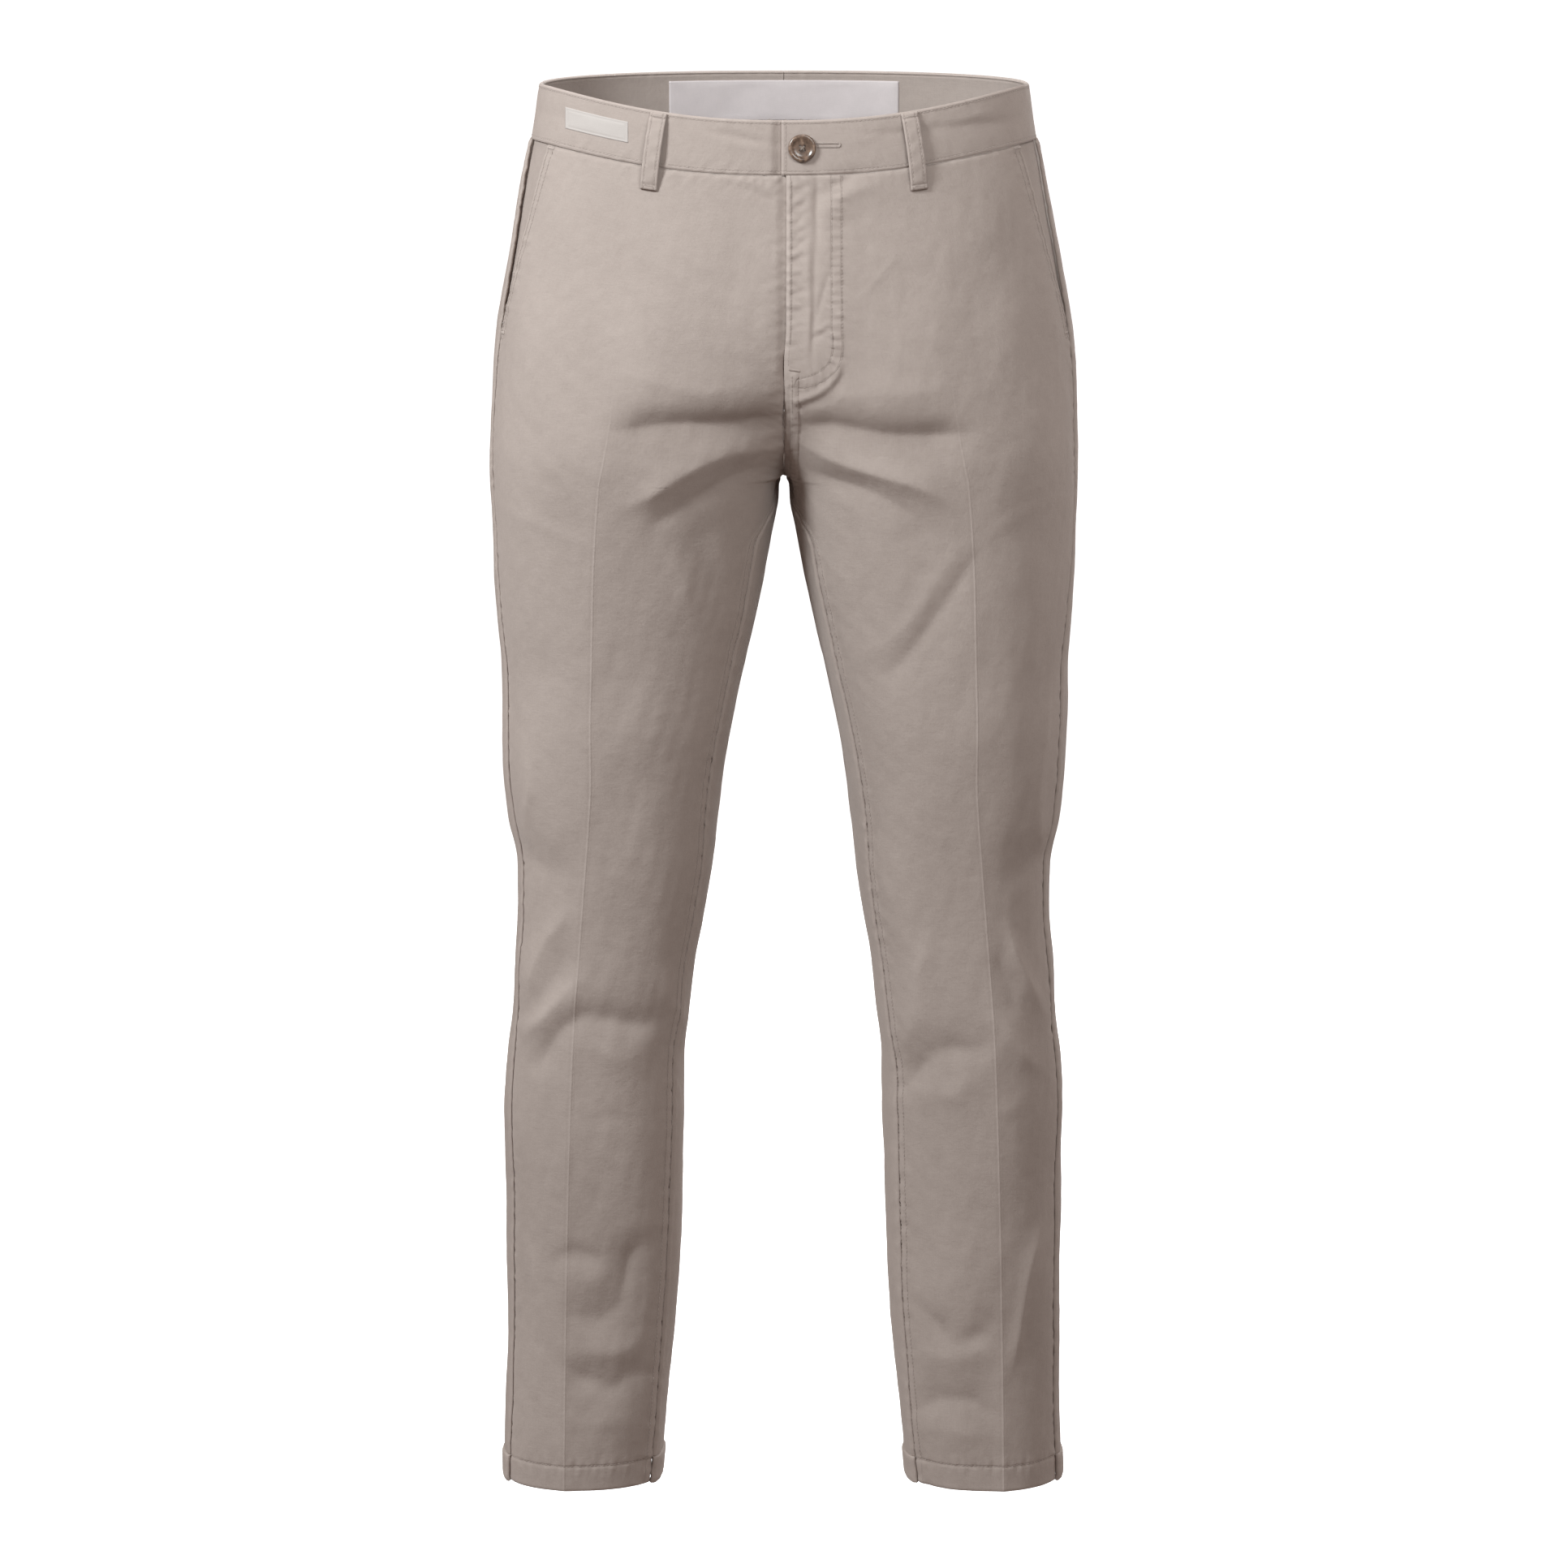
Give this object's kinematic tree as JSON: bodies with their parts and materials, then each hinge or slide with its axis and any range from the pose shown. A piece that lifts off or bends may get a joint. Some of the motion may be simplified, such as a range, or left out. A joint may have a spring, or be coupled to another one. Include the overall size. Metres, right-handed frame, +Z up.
{
  "type": "pair of chinos",
  "caption": "Long cotton-twill trousers with a buttoned waistband, belt loops, slant side pockets and a pressed crease down each leg, filled out as worn.",
  "frame": {"origin": "centre of the waist opening, level with the waistband's top edge at the sides", "axes": "+Z up out of the waist, -Y towards the front, +X towards the wearer's left"},
  "size_m": [0.4316, 0.2561, 1.0601],
  "materials": {
    "cloth": "fine cotton twill, matte with a faint sheen",
    "button": "polished, mottled like horn",
    "label": "woven, matte"
  },
  "bodies": {
    "root": {"front_left": "cloth", "front_right": "cloth", "back_left": "cloth", "back_right": "cloth", "pocket_facing_left": "cloth", "pocket_facing_right": "cloth", "waistband_left": "cloth", "waistband_right": "cloth", "belt_loop_front_left": "cloth", "belt_loop_front_right": "cloth", "belt_loop_side_left": "cloth", "belt_loop_side_right": "cloth", "belt_loop_back": "cloth", "waist_button": "button", "label_inner": "label", "label_outer": "label"}
  },
  "joints": []
}
